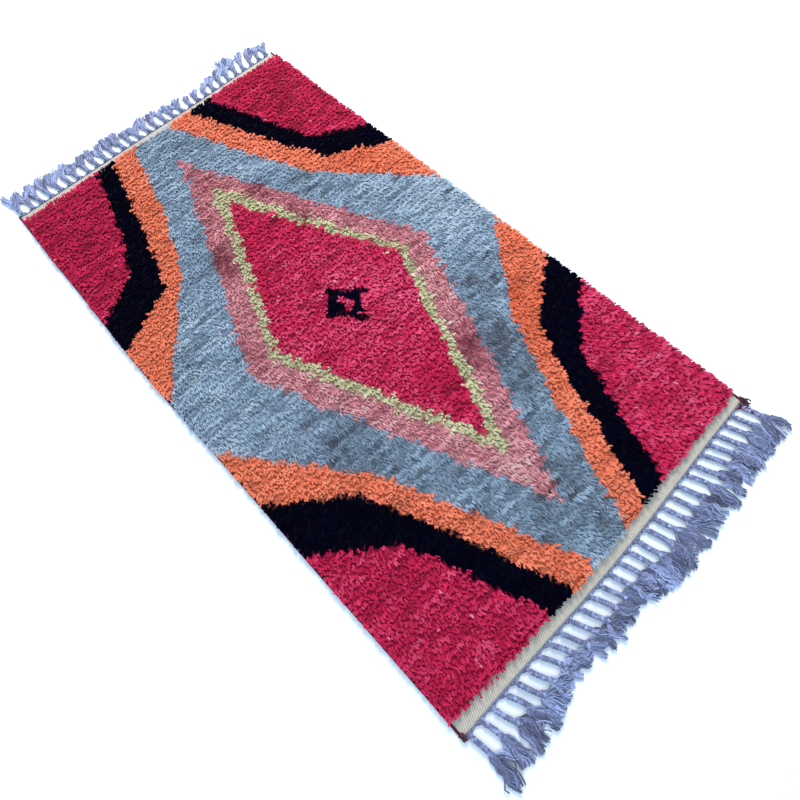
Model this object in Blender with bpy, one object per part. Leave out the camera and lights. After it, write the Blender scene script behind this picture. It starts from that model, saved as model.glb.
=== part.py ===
"""A hand-knotted berber rug lying flat on the floor, in metres, +Z up.

+X runs across the rug and +Y along it, from the near end to the far end, and the origin is on the
floor under its middle. Each piece that a maker would weave, knot or fit is an object of its own: the
ground weave with its bare end bands, the wool pile, the selvedge cord along each long side, and the
fringe at each end.
"""

import math
from collections import namedtuple

import bmesh
import bpy
import numpy as np
from mathutils import Vector, noise

# Driving dimensions
WEAVE_THICKNESS = 0.003
PILE_TOP = 0.0165
SELVEDGE_RADIUS = 0.0028
CORD_COUNT = 30
CORD_WIDTH = 0.0110
CORD_HEIGHT = 0.0080
CLEARANCE = 0.0003
OUTLINE_STEP = 0.040
LEFT, RIGHT, NEAR, FAR = -1, 1, -1, 1

# Half of the woven length and of the knotted length, at the corners
WEAVE_HALF_LENGTH = 0.88
PILE_HALF_LENGTH = 0.855

# The outline as the rug lies: its sides bow a little and its ends are not quite square
SideRow = namedtuple("SideRow", "y left_x right_x")
SIDES = (
    SideRow(-0.88, -0.478, 0.487),
    SideRow(-0.30, -0.484, 0.485),
    SideRow(0.20, -0.491, 0.482),
    SideRow(0.60, -0.483, 0.479),
    SideRow(0.88, -0.476, 0.482),
)
EndRow = namedtuple("EndRow", "x near_weave_y near_pile_y far_pile_y far_weave_y")
ENDS = (
    EndRow(-0.48, -0.878, -0.849, 0.842, 0.868),
    EndRow(0.00, -0.889, -0.864, 0.856, 0.877),
    EndRow(0.48, -0.878, -0.854, 0.866, 0.890),
)

# The knotted pattern: three diamonds one inside the other, then bands that bend round each corner
DiamondRow = namedtuple("DiamondRow", "y left_x right_x")
DIAMONDS = (
    ("crimson", (
        DiamondRow(-0.528, 0.000, 0.000),
        DiamondRow(-0.006, -0.212, 0.209),
        DiamondRow(0.468, -0.015, -0.015),
    )),
    ("olive", (
        DiamondRow(-0.597, 0.000, 0.000),
        DiamondRow(-0.006, -0.240, 0.238),
        DiamondRow(0.535, -0.018, -0.018),
    )),
    ("rose", (
        DiamondRow(-0.745, 0.000, 0.000),
        DiamondRow(-0.010, -0.310, 0.312),
        DiamondRow(0.345, -0.155, 0.138),
        DiamondRow(0.732, -0.023, -0.023),
    )),
)
BandRow = namedtuple("BandRow", "across along yarn side_y knee_x knee_y waist_x waist_y end_x")
BANDS = (
    BandRow(LEFT, NEAR, "crimson", -0.424, -0.314, -0.557, -0.265, -0.676, -0.196),
    BandRow(LEFT, NEAR, "navy", -0.276, -0.314, -0.409, -0.235, -0.577, -0.127),
    BandRow(LEFT, NEAR, "orange", -0.103, -0.255, -0.399, -0.151, -0.627, -0.065),
    BandRow(RIGHT, NEAR, "crimson", -0.404, 0.318, -0.538, 0.254, -0.706, 0.195),
    BandRow(RIGHT, NEAR, "navy", -0.296, 0.298, -0.419, 0.229, -0.587, 0.125),
    BandRow(RIGHT, NEAR, "orange", -0.103, 0.269, -0.360, 0.160, -0.597, 0.056),
    BandRow(LEFT, FAR, "crimson", 0.370, -0.349, 0.465, -0.295, 0.600, -0.222),
    BandRow(LEFT, FAR, "navy", 0.264, -0.305, 0.355, -0.236, 0.590, -0.164),
    BandRow(LEFT, FAR, "orange", 0.070, -0.245, 0.372, -0.161, 0.589, -0.092),
    BandRow(RIGHT, FAR, "crimson", 0.396, 0.328, 0.480, 0.274, 0.609, 0.190),
    BandRow(RIGHT, FAR, "navy", 0.293, 0.293, 0.401, 0.224, 0.559, 0.111),
    BandRow(RIGHT, FAR, "orange", 0.095, 0.229, 0.381, 0.135, 0.589, 0.031),
)
BAND_SIDE_X = 0.484
BAND_END_Y = PILE_HALF_LENGTH
MOTIF_CENTRE = (-0.005, -0.025)
MOTIF_OUTER = (0.058, 0.066)
MOTIF_INNER = (0.020, 0.028)

# The pile: a lumpy slab whose rim is drawn out into locks
PILE_COLUMNS = 39
PILE_ROWS = 68
PILE_FOOT = WEAVE_THICKNESS + CLEARANCE
PILE_TOP_INSET = 0.006
PILE_FOOT_INSET = 0.013
LOCK_HEIGHT = 0.0098
LOCK_REACH = 0.008
LOCK_WIDTH = 0.017
PARTING_DEPTH = 0.0030
PARTING_SIZE = (0.110, 0.034)
LUMP_DEPTH = 0.0022
LUMP_SIZE = 0.026

# The selvedge: a cord wrapped with yarn, so that it swells and narrows
SELVEDGE_STEP = 0.030
SELVEDGE_SWELL = 0.10
SELVEDGE_OVERRUN = 0.009

# The fringe: a header strip, cords that lean, and two frayed locks at the end of each cord
HEADER_WIDTH = 0.009
HEADER_HEIGHT = 0.0055
HEADER_OVERLAP = 0.0027
FRINGE_MARGINS = (0.009, 0.018)
FringeRow = namedtuple("FringeRow", "x lean cord_length lock_length")
FRINGES = {
    "near": (
        FringeRow(-0.47, 0.010, 0.060, 0.054),
        FringeRow(-0.36, 0.024, 0.058, 0.048),
        FringeRow(-0.26, 0.028, 0.056, 0.028),
        FringeRow(-0.15, 0.025, 0.056, 0.034),
        FringeRow(0.05, 0.016, 0.058, 0.052),
        FringeRow(0.15, 0.018, 0.060, 0.054),
        FringeRow(0.30, 0.026, 0.058, 0.050),
        FringeRow(0.47, 0.018, 0.056, 0.046),
    ),
    "far": (
        FringeRow(-0.47, -0.002, 0.054, 0.052),
        FringeRow(-0.36, -0.007, 0.044, 0.036),
        FringeRow(-0.20, -0.004, 0.044, 0.036),
        FringeRow(0.05, -0.003, 0.038, 0.028),
        FringeRow(0.20, 0.004, 0.034, 0.020),
        FringeRow(0.34, 0.014, 0.048, 0.052),
        FringeRow(0.47, 0.016, 0.044, 0.030),
    ),
}
CORD_SHARES = (0.17, 0.38, 0.59, 0.80, 1.00)
CORD_SWAY = 0.0016
CORD_TOP_WIDTH = 0.62
CORD_TWIST_SHIFT = 0.22
CORD_SPREAD = 0.06
LEAN_SPREAD = 0.0008
ROOT_NARROWING = 0.8
ROOT_LIFT = 0.0008
LOCK_ROOT_SHARE = 0.90
LOCK_ROOT_OFFSET = 0.0026
LOCK_ROOT_HALF_WIDTH = 0.0018
LOCK_HALF_WIDTH = 0.0062
LOCK_TOP = 0.0062
LOCK_SLIT = 0.0008
LOCK_LEAN = 0.25
LOCK_SPREAD = 0.10
TIP_SPREAD = 0.0006
LockRow = namedtuple("LockRow", "share lean width height")
LOCK_ROWS = (
    LockRow(0.42, 0.0, 1.00, 1.00),
    LockRow(0.80, 1.0, 0.95, 0.80),
    LockRow(1.00, 1.3, 0.42, 0.45),
)
FRINGE_SEED = 11

# Linear colours of the yarns, with the roughness that they share
WOOL_ROUGHNESS = 0.95
YARNS = {
    "crimson": (0.445, 0.012, 0.061),
    "navy": (0.0026, 0.0026, 0.0120),
    "orange": (0.776, 0.156, 0.058),
    "blue": (0.231, 0.314, 0.445),
    "rose": (0.445, 0.127, 0.195),
    "olive": (0.429, 0.413, 0.171),
}
WEAVE_COLOUR = (0.578, 0.539, 0.468)
SELVEDGE_COLOUR = (0.091, 0.007, 0.032)
FRINGE_COLOUR = (0.216, 0.216, 0.328)


def clear_scene():
    for obj in list(bpy.data.objects):
        bpy.data.objects.remove(obj, do_unlink=True)


def make_collection(name, hidden=False):
    collection = bpy.data.collections.new(name)
    bpy.context.scene.collection.children.link(collection)
    collection.hide_render = hidden
    return collection


def material(name, colour):
    made = bpy.data.materials.new(name)
    made.use_nodes = True
    shader = made.node_tree.nodes["Principled BSDF"]
    shader.inputs["Base Color"].default_value = (*colour, 1.0)
    shader.inputs["Roughness"].default_value = WOOL_ROUGHNESS
    shader.inputs["Metallic"].default_value = 0.0
    made.diffuse_color = (*colour, 1.0)
    return made


def eased(at, stations, values):
    """The value at one place, eased from each station of a short table to the next."""
    at = min(max(at, stations[0]), stations[-1])
    after = max(1, int(np.searchsorted(stations, at)))
    before = after - 1
    share = (at - stations[before]) / (stations[after] - stations[before])
    share = share * share * (3.0 - 2.0 * share)
    return values[before] + (values[after] - values[before]) * share


def side_x(y, side):
    """The rug's edge at the left (-1) or right (+1), the selvedge cord included."""
    values = [row.left_x if side == LEFT else row.right_x for row in SIDES]
    return eased(y, [row.y for row in SIDES], values)


def end_y(x, column):
    """The weave's or the pile's end, from the named column of the table of ends."""
    return eased(x, [row.x for row in ENDS], [getattr(row, column) for row in ENDS])


def in_diamond(x, y, rows):
    stations = [row.y for row in rows]
    if not stations[0] < y < stations[-1]:
        return False
    left = np.interp(y, stations, [row.left_x for row in rows])
    right = np.interp(y, stations, [row.right_x for row in rows])
    return left < x < right


def in_band(x, y, row):
    """Whether a point lies beyond a band's inner edge, towards that row's corner of the rug."""
    if x * row.across < 0 or y * row.along < abs(row.side_y):
        return False
    stations = [abs(row.side_y), abs(row.knee_y), abs(row.waist_y), BAND_END_Y]
    edge = [BAND_SIDE_X, abs(row.knee_x), abs(row.waist_x), abs(row.end_x)]
    return abs(x) > np.interp(abs(y), stations, edge)


def in_motif(x, y):
    """The small dark ring in the middle of the rug, a diamond with an open eye."""
    across = abs(x - MOTIF_CENTRE[0])
    along = abs(y - MOTIF_CENTRE[1])
    outer = across / MOTIF_OUTER[0] + along / MOTIF_OUTER[1]
    inner = across / MOTIF_INNER[0] + along / MOTIF_INNER[1]
    return outer < 1.0 < inner


def yarn_at(x, y):
    if in_motif(x, y):
        return "navy"
    for yarn, rows in DIAMONDS:
        if in_diamond(x, y, rows):
            return yarn
    for row in BANDS:
        if in_band(x, y, row):
            return row.yarn
    return "blue"


def new_object(name, bm, collection, materials):
    mesh = bpy.data.meshes.new(name)
    bm.to_mesh(mesh)
    bm.free()
    for each in materials:
        mesh.materials.append(each)
    obj = bpy.data.objects.new(name, mesh)
    collection.objects.link(obj)
    return obj


def flat_outline(name, points, thickness, collection, finish):
    """A flat sheet of the given outline that rests on the floor, as a filled 2D curve."""
    curve = bpy.data.curves.new(name, "CURVE")
    curve.dimensions = "2D"
    curve.fill_mode = "BOTH"
    curve.extrude = thickness / 2
    spline = curve.splines.new("POLY")
    spline.points.add(len(points) - 1)
    for point, (x, y) in zip(spline.points, points):
        point.co = (x, y, 0.0, 1.0)
    spline.use_cyclic_u = True
    curve.materials.append(finish)
    obj = bpy.data.objects.new(name, curve)
    obj.location.z = thickness / 2
    collection.objects.link(obj)
    return obj


def as_mesh(curve_object, collection):
    """The curve object as a closed mesh object of the same name, which a Boolean can use."""
    bpy.context.view_layer.update()
    graph = bpy.context.evaluated_depsgraph_get()
    mesh = bpy.data.meshes.new_from_object(curve_object.evaluated_get(graph))
    bm = bmesh.new()
    bm.from_mesh(mesh)
    bmesh.ops.remove_doubles(bm, verts=bm.verts, dist=1e-6)
    bmesh.ops.recalc_face_normals(bm, faces=bm.faces)
    bm.to_mesh(mesh)
    bm.free()
    name = curve_object.name
    place = curve_object.matrix_world.copy()
    bpy.data.objects.remove(curve_object, do_unlink=True)
    obj = bpy.data.objects.new(name, mesh)
    obj.matrix_world = place
    collection.objects.link(obj)
    return obj


def weave_side_x(y, side):
    """The ground weave's own edge, inside the selvedge cord."""
    return side_x(y, side) - side * (2.0 * SELVEDGE_RADIUS * (1.0 + SELVEDGE_SWELL) + CLEARANCE)


def edge_run(start, stop, step):
    count = max(2, math.ceil(abs(stop - start) / step))
    return np.linspace(start, stop, count + 1)


def end_line(column, outset, step=OUTLINE_STEP):
    """Points along one end of the weave, from left to right, set out from it by a distance."""
    away = NEAR if column.startswith("near") else FAR
    left = weave_side_x(away * WEAVE_HALF_LENGTH, LEFT)
    right = weave_side_x(away * WEAVE_HALF_LENGTH, RIGHT)
    return [(x, end_y(x, column) + away * outset) for x in edge_run(left, right, step)]


def ground_weave(collection):
    near = end_line("near_weave_y", 0.0)
    far = end_line("far_weave_y", 0.0)
    right_run = edge_run(near[-1][1], far[-1][1], OUTLINE_STEP)[1:-1]
    left_run = edge_run(far[0][1], near[0][1], OUTLINE_STEP)[1:-1]
    right_side = [(weave_side_x(y, RIGHT), y) for y in right_run]
    left_side = [(weave_side_x(y, LEFT), y) for y in left_run]
    outline = near + right_side + far[::-1] + left_side
    finish = material("undyed_weave", WEAVE_COLOUR)
    return flat_outline("ground_weave", outline, WEAVE_THICKNESS, collection, finish)


def pile_place(across, along, inset):
    """The place on the rug of a point given as shares of its width and length, each from 0 to 1."""
    y = PILE_HALF_LENGTH * (2.0 * along - 1.0)
    x = 0.0
    for _ in range(3):
        left = side_x(y, LEFT) + inset
        right = side_x(y, RIGHT) - inset
        x = left + (right - left) * across
        near = end_y(x, "near_pile_y") + inset
        far = end_y(x, "far_pile_y") - inset
        y = near + (far - near) * along
    return x, y


def pile_height(x, y):
    """The top of the pile: rows that part in long shallow grooves, and lumps the size of a few knots."""
    parting = noise.noise(Vector((x / PARTING_SIZE[0], y / PARTING_SIZE[1], 3.0)))
    lump = noise.noise(Vector((x / LUMP_SIZE, y / LUMP_SIZE, 8.0)))
    return PILE_TOP + PARTING_DEPTH * parting + LUMP_DEPTH * lump


def lock_reach(x, y):
    """How far the lock of wool at this place on the rim stands out past the rug's edge."""
    return LOCK_REACH * abs(noise.cell(Vector((x / LOCK_WIDTH, y / LOCK_WIDTH, 5.0))))


def pile(collection):
    """A unit grid whose rim is drawn out twice and closed below, with every point then put in place."""
    bm = bmesh.new()
    bmesh.ops.create_grid(bm, x_segments=PILE_COLUMNS, y_segments=PILE_ROWS, size=0.5)
    ring = {vert: "top" for vert in bm.verts}
    for name in ("locks", "foot"):
        rim = [edge for edge in bm.edges if edge.is_boundary]
        drawn = bmesh.ops.extrude_edge_only(bm, edges=rim)["geom"]
        ring.update({item: name for item in drawn if isinstance(item, bmesh.types.BMVert)})
    bmesh.ops.holes_fill(bm, edges=[edge for edge in bm.edges if edge.is_boundary], sides=0)

    for vert, name in ring.items():
        across = vert.co.x + 0.5
        along = vert.co.y + 0.5
        if name == "top":
            x, y = pile_place(across, along, PILE_TOP_INSET)
            vert.co = (x, y, pile_height(x, y))
        elif name == "foot":
            x, y = pile_place(across, along, PILE_FOOT_INSET)
            vert.co = (x, y, PILE_FOOT)
        else:
            x, y = pile_place(across, along, 0.0)
            x, y = pile_place(across, along, -lock_reach(x, y))
            vert.co = (x, y, LOCK_HEIGHT)
    bmesh.ops.recalc_face_normals(bm, faces=bm.faces)

    slots = {yarn: index for index, yarn in enumerate(YARNS)}
    for face in bm.faces:
        centre = face.calc_center_median()
        face.material_index = slots[yarn_at(centre.x, centre.y)]
    return new_object("pile", bm, collection, [material(f"wool_{yarn}", YARNS[yarn]) for yarn in YARNS])


def selvedge(side, collection, finish):
    """The overcast cord along one long side, a tube that swells between its wraps."""
    name = "selvedge_left" if side == LEFT else "selvedge_right"
    curve = bpy.data.curves.new(name, "CURVE")
    curve.dimensions = "3D"
    curve.bevel_depth = SELVEDGE_RADIUS
    curve.bevel_resolution = 1
    curve.use_fill_caps = True
    near = end_y(side * BAND_SIDE_X, "near_weave_y") - SELVEDGE_OVERRUN
    far = end_y(side * BAND_SIDE_X, "far_weave_y") + SELVEDGE_OVERRUN
    stations = edge_run(near, far, SELVEDGE_STEP)
    spline = curve.splines.new("POLY")
    spline.points.add(len(stations) - 1)
    middle = SELVEDGE_RADIUS * (1.0 + SELVEDGE_SWELL)
    for index, (point, y) in enumerate(zip(spline.points, stations)):
        point.co = (side_x(y, side) - side * middle, y, middle, 1.0)
        point.radius = 1.0 + SELVEDGE_SWELL * (1 if index % 2 else -1)
    curve.materials.append(finish)
    obj = bpy.data.objects.new(name, curve)
    collection.objects.link(obj)
    return obj


def loft(bm, sections):
    """A closed solid through rings of points, each ring with the same number of points."""
    rings = [[bm.verts.new(point) for point in section] for section in sections]
    for ring, after in zip(rings, rings[1:]):
        for i in range(len(ring)):
            j = (i + 1) % len(ring)
            bm.faces.new((ring[i], ring[j], after[j], after[i]))
    bm.faces.new(rings[0][::-1])
    bm.faces.new(rings[-1])


def cord_section(place, width, height, lift, shift):
    """Four corners of a cord that lies level, its upper face shifted as its plies turn over."""
    x, y = place
    top = CORD_TOP_WIDTH * width / 2
    return (
        (x - width / 2, y, lift),
        (x + width / 2, y, lift),
        (x + top + shift * width, y, lift + height),
        (x - top + shift * width, y, lift + height),
    )


def lock_section(place, half_width, height, lift):
    """Three corners of a frayed lock that lies level."""
    x, y = place
    return (
        (x - half_width, y, lift),
        (x + half_width, y, lift),
        (x, y, lift + height),
    )


def cord_and_locks(end, index, draws):
    """The rings of one fringe cord and of the two frayed locks at its end, made uneven by six draws."""
    away = NEAR if end == "near" else FAR
    rows = FRINGES[end]
    stations = [row.x for row in rows]
    left = weave_side_x(away * WEAVE_HALF_LENGTH, LEFT) + FRINGE_MARGINS[0]
    right = weave_side_x(away * WEAVE_HALF_LENGTH, RIGHT) - FRINGE_MARGINS[1]
    x = left + (right - left) * index / (CORD_COUNT - 1)
    lean = eased(x, stations, [row.lean for row in rows]) + LEAN_SPREAD * draws[0]
    length = eased(x, stations, [row.cord_length for row in rows]) * (1.0 + CORD_SPREAD * draws[1])
    fray = eased(x, stations, [row.lock_length for row in rows])
    root = end_y(x, end + "_weave_y") + away * (CLEARANCE + HEADER_OVERLAP)

    def along_cord(share):
        sway = CORD_SWAY * math.sin(math.pi * share) * draws[2]
        return x + lean * share + sway, root + away * length * share

    root_width = ROOT_NARROWING * CORD_WIDTH
    cord = [cord_section(along_cord(0.0), root_width, HEADER_HEIGHT / 2, ROOT_LIFT, 0.0)]
    for station, share in enumerate(CORD_SHARES):
        shift = CORD_TWIST_SHIFT * (1 if (station + index) % 2 else -1)
        cord.append(cord_section(along_cord(share), CORD_WIDTH, CORD_HEIGHT, 0.0, shift))

    start_x, start_y = along_cord(LOCK_ROOT_SHARE)
    end_x = along_cord(1.0)[0]
    locks = []
    for side in (LEFT, RIGHT):
        reach = fray * (1.0 + LOCK_SPREAD * (draws[3] + side * draws[4])) + (1.0 - LOCK_ROOT_SHARE) * length
        middle_x = end_x + side * (LOCK_HALF_WIDTH + LOCK_SLIT / 2)
        tip_x = middle_x + side * LOCK_SLIT + LOCK_LEAN * lean + TIP_SPREAD * draws[5]
        root_x = start_x + side * LOCK_ROOT_OFFSET
        lock = [lock_section((root_x, start_y), LOCK_ROOT_HALF_WIDTH, HEADER_HEIGHT / 2, ROOT_LIFT)]
        for row in LOCK_ROWS:
            place = (middle_x + (tip_x - middle_x) * row.lean, start_y + away * reach * row.share)
            lock.append(lock_section(place, LOCK_HALF_WIDTH * row.width, LOCK_TOP * row.height, 0.0))
        locks.append(lock)
    return cord, locks


def union(target, cutter):
    modifier = target.modifiers.new(cutter.name, "BOOLEAN")
    modifier.operation = "UNION"
    modifier.solver = "EXACT"
    modifier.object = cutter


def guide_object(name, lofts, cutters):
    """One mesh of several closed solids that stand apart, kept as a guide for a Boolean union."""
    bm = bmesh.new()
    for sections in lofts:
        loft(bm, sections)
    bmesh.ops.recalc_face_normals(bm, faces=bm.faces)
    obj = new_object(name, bm, cutters, [])
    obj.hide_render = True
    obj.display_type = "WIRE"
    return obj


def fringe(end, collection, cutters, finish):
    """The header strip along one end, with its cords and their frayed locks joined to it."""
    column = end + "_weave_y"
    inner = end_line(column, CLEARANCE)
    outer = end_line(column, HEADER_WIDTH)
    strip = flat_outline(f"fringe_{end}", inner + outer[::-1], HEADER_HEIGHT, collection, finish)
    header = as_mesh(strip, collection)

    draws = np.random.default_rng(FRINGE_SEED + (end == "far")).uniform(-1.0, 1.0, (CORD_COUNT, 6))
    made = [cord_and_locks(end, index, draws[index]) for index in range(CORD_COUNT)]
    union(header, guide_object(f"cords_{end}", [cord for cord, _ in made], cutters))
    union(header, guide_object(f"locks_{end}", [lock for _, pair in made for lock in pair], cutters))
    return header


def build():
    clear_scene()
    rug = make_collection("berber_rug")
    cutters = make_collection("cutters", hidden=True)
    ground_weave(rug)
    pile(rug)
    wine = material("selvedge_wool", SELVEDGE_COLOUR)
    for side in (LEFT, RIGHT):
        selvedge(side, rug, wine)
    mauve = material("fringe_wool", FRINGE_COLOUR)
    for end in ("near", "far"):
        fringe(end, rug, cutters, mauve)


build()
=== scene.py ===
"""The looks of a hand-knotted berber rug: its wool pile, bare end bands, selvedges and fringes.

Everything is in metres, with +X across the rug, +Y along it towards the far end and +Z up. The pile
is built knot by knot: each knot is a few strands of yarn that lean towards the near end and stand in
a lumpy bed, which is the dense wool between them.
"""

import math
from collections import namedtuple

import bpy
import numpy as np
from mathutils import Matrix, Vector, noise


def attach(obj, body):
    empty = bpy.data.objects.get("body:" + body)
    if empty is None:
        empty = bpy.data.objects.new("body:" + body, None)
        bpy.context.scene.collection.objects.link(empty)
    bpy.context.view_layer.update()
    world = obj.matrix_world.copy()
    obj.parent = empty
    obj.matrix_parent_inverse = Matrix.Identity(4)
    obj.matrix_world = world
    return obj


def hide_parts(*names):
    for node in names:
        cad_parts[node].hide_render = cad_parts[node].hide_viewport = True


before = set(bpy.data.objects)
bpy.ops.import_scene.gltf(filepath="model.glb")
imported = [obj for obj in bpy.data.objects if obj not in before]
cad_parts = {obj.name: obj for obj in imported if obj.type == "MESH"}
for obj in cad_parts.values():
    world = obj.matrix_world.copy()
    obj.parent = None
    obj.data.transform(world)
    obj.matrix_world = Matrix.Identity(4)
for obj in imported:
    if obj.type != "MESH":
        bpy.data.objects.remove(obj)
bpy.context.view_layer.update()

# Sizes of the rug
WEAVE_THICKNESS = 0.003
WEAVE_HALF_LENGTH = 0.88
PILE_TOP = 0.0165
SELVEDGE_RADIUS = 0.0028
SELVEDGE_WIDTH = 2.2 * SELVEDGE_RADIUS
CLEARANCE = 0.0003
CORD_COUNT = 30
LEFT, RIGHT, NEAR, FAR = -1, 1, -1, 1
FLAT_SIZE = (0.965, 1.765)

# The outline as the rug lies: its sides bow a little and its ends are not quite square
SideRow = namedtuple("SideRow", "y left_x right_x")
SIDES = (
    SideRow(-0.88, -0.478, 0.487),
    SideRow(-0.30, -0.484, 0.485),
    SideRow(0.20, -0.491, 0.482),
    SideRow(0.60, -0.483, 0.479),
    SideRow(0.88, -0.476, 0.482),
)
EndRow = namedtuple("EndRow", "x near_weave_y near_pile_y far_pile_y far_weave_y")
ENDS = (
    EndRow(-0.48, -0.878, -0.849, 0.842, 0.868),
    EndRow(0.00, -0.889, -0.864, 0.856, 0.877),
    EndRow(0.48, -0.878, -0.854, 0.866, 0.890),
)

# The knotted pattern: three diamonds one inside the other, given by y and their left and right x,
# then bands that bend round each corner
DIAMONDS = {
    "crimson": (
        (-0.528, 0.000, 0.000),
        (-0.006, -0.212, 0.209),
        (0.468, -0.015, -0.015),
    ),
    "olive": (
        (-0.597, 0.000, 0.000),
        (-0.006, -0.240, 0.238),
        (0.420, -0.064, 0.042),
        (0.490, -0.050, 0.018),
        (0.536, -0.018, -0.012),
    ),
    "rose": (
        (-0.745, 0.000, 0.000),
        (-0.010, -0.306, 0.304),
        (0.345, -0.160, 0.138),
        (0.510, -0.098, 0.062),
        (0.620, -0.050, 0.004),
        (0.725, -0.023, -0.021),
    ),
}
# The bands' lines, given by their distances from the rug's middle
BandRow = namedtuple("BandRow", "across along yarn side_y knee_x knee_y waist_x waist_y end_x")
BANDS = [BandRow(*row) for row in (
    (LEFT, NEAR, "crimson", 0.424, 0.314, 0.557, 0.265, 0.676, 0.196),
    (LEFT, NEAR, "navy", 0.276, 0.314, 0.409, 0.235, 0.577, 0.127),
    (LEFT, NEAR, "orange", 0.103, 0.255, 0.399, 0.151, 0.627, 0.055),
    (RIGHT, NEAR, "crimson", 0.404, 0.318, 0.538, 0.254, 0.706, 0.195),
    (RIGHT, NEAR, "navy", 0.296, 0.298, 0.419, 0.229, 0.587, 0.125),
    (RIGHT, NEAR, "orange", 0.103, 0.269, 0.360, 0.160, 0.597, 0.056),
    (LEFT, FAR, "crimson", 0.370, 0.349, 0.465, 0.295, 0.600, 0.222),
    (LEFT, FAR, "navy", 0.264, 0.305, 0.355, 0.236, 0.590, 0.164),
    (LEFT, FAR, "orange", 0.070, 0.245, 0.372, 0.161, 0.589, 0.092),
    (RIGHT, FAR, "crimson", 0.396, 0.328, 0.480, 0.274, 0.609, 0.190),
    (RIGHT, FAR, "navy", 0.293, 0.293, 0.401, 0.224, 0.559, 0.111),
    (RIGHT, FAR, "orange", 0.095, 0.229, 0.381, 0.135, 0.589, 0.031),
)]
BAND_SIDE_X = 0.484
BAND_END_Y = 0.855

# The motif in the middle: strokes of dark yarn, each given by half of its width and its points
MOTIF_LINES = (
    (0.0075, ((-0.004, 0.040), (-0.005, 0.026))),
    (0.0120, ((-0.008, 0.020), (-0.028, -0.002))),
    (0.0160, ((-0.044, -0.020), (-0.020, -0.021))),
    (0.0095, ((0.000, 0.020), (0.022, -0.006))),
    (0.0125, ((0.026, -0.018), (0.036, -0.022))),
    (0.0050, ((0.044, -0.012), (0.064, -0.032))),
    (0.0090, ((0.030, -0.034), (0.020, -0.048), (0.004, -0.058))),
    (0.0090, ((-0.025, -0.046), (-0.003, -0.058))),
    (0.0065, ((-0.006, -0.060), (-0.006, -0.078), (0.001, -0.090), (0.008, -0.093))),
    (0.0065, ((0.012, -0.062), (0.016, -0.071))),
)
MOTIF_REACH = 0.12

# Places where the dye or the wool differs, or where painted shade darkens the pile's deeper partings, by
# yarn. Each is a spot's x and y, its radii across and along the rug, and its change of tone
PATCHES = {
    "blue": (
        (0.00, -0.52, 0.50, 0.26, -0.34),
        (0.00, 0.50, 0.50, 0.26, -0.10),
        (-0.30, -0.25, 0.14, 0.09, -0.34),
        (0.33, -0.22, 0.10, 0.10, -0.25),
        (0.00, -0.72, 0.14, 0.07, -0.42),
        (0.06, -0.81, 0.12, 0.05, -0.25),
        (0.02, 0.72, 0.30, 0.12, 0.10),
        (-0.38, 0.05, 0.10, 0.30, 0.08),
        (-0.26, -0.34, 0.10, 0.10, -0.30),
        (0.16, -0.44, 0.06, 0.14, -0.25),
        (-0.28, 0.34, 0.12, 0.05, -0.30),
        (0.19, 0.38, 0.06, 0.06, -0.30),
        (0.40, 0.00, 0.10, 0.14, 0.20),
        (0.21, -0.36, 0.06, 0.08, -0.55),
        (0.27, -0.21, 0.05, 0.05, -0.45),
        (0.41, -0.20, 0.04, 0.05, -0.25),
        (0.32, -0.04, 0.07, 0.06, 0.20),
        (-0.33, 0.12, 0.07, 0.10, 0.12),
        (-0.40, -0.14, 0.07, 0.08, 0.30),
        (0.02, 0.73, 0.14, 0.07, -0.35),
        (0.21, 0.31, 0.05, 0.06, -0.35),
    ),
    "rose": (
        (-0.15, 0.31, 0.04, 0.07, -1.10),
        (0.07, 0.45, 0.035, 0.035, -0.70),
        (-0.09, 0.51, 0.025, 0.035, -0.50),
        (0.11, 0.31, 0.03, 0.06, -0.65),
        (0.13, -0.33, 0.05, 0.08, -0.95),
        (0.26, 0.02, 0.03, 0.10, -0.25),
        (-0.04, -0.62, 0.10, 0.10, 0.40),
        (-0.21, -0.22, 0.06, 0.12, 0.36),
        (0.22, 0.16, 0.03, 0.06, -0.40),
        (-0.02, 0.57, 0.05, 0.06, -0.35),
    ),
    "olive": (
        (0.02, -0.30, 0.30, 0.20, 0.20),
    ),
    "orange": (
        (0.28, -0.26, 0.05, 0.10, -0.14),
        (-0.33, 0.35, 0.08, 0.05, -0.14),
        (-0.16, -0.60, 0.05, 0.03, -0.18),
        (0.31, -0.34, 0.10, 0.12, -0.55),
        (0.33, 0.32, 0.07, 0.06, -0.60),
    ),
    "crimson": (
        (0.00, -0.04, 0.24, 0.45, 0.30),
        (-0.38, 0.66, 0.16, 0.30, -0.30),
        (0.36, 0.70, 0.16, 0.25, -0.42),
        (0.40, -0.62, 0.14, 0.28, 0.14),
        (0.02, -0.36, 0.05, 0.07, -0.50),
        (-0.04, 0.31, 0.10, 0.10, -0.35),
        (-0.13, 0.16, 0.04, 0.08, -0.30),
        (0.12, -0.12, 0.08, 0.10, 0.25),
    ),
}


def linear(red, green, blue):
    """A colour given as the eye sees it, in parts of 255, made linear."""
    parts = []
    for part in (red, green, blue):
        share = part / 255.0
        parts.append(share / 12.92 if share <= 0.04045 else ((share + 0.055) / 1.055) ** 2.4)
    return np.array(parts)


# How the pile's ends are cut: bushy ends of thick soft yarn, or straight ends of thin firm yarn.
# Each cut's shade darkens its strands towards their roots and lightens their tips: painted shade and light
Cut = namedtuple("Cut", "strands gap radius rise reach swell shade")
BUSHY = Cut(
    strands=3,
    gap=0.0024,
    radius=0.0027,
    rise=(0.0, 0.66, 1.0, 1.04),
    reach=(0.0, 0.28, 0.80, 1.02),
    swell=(0.78, 1.06, 0.86),
    shade=(0.74, 0.92, 1.0, 1.03),
)
STRAIGHT = Cut(
    strands=5,
    gap=0.0017,
    radius=0.0019,
    rise=(0.0, 0.84, 1.0),
    reach=(0.0, 0.44, 1.12),
    swell=(1.0, 1.0),
    shade=(0.70, 0.95, 1.04),
)
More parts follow.
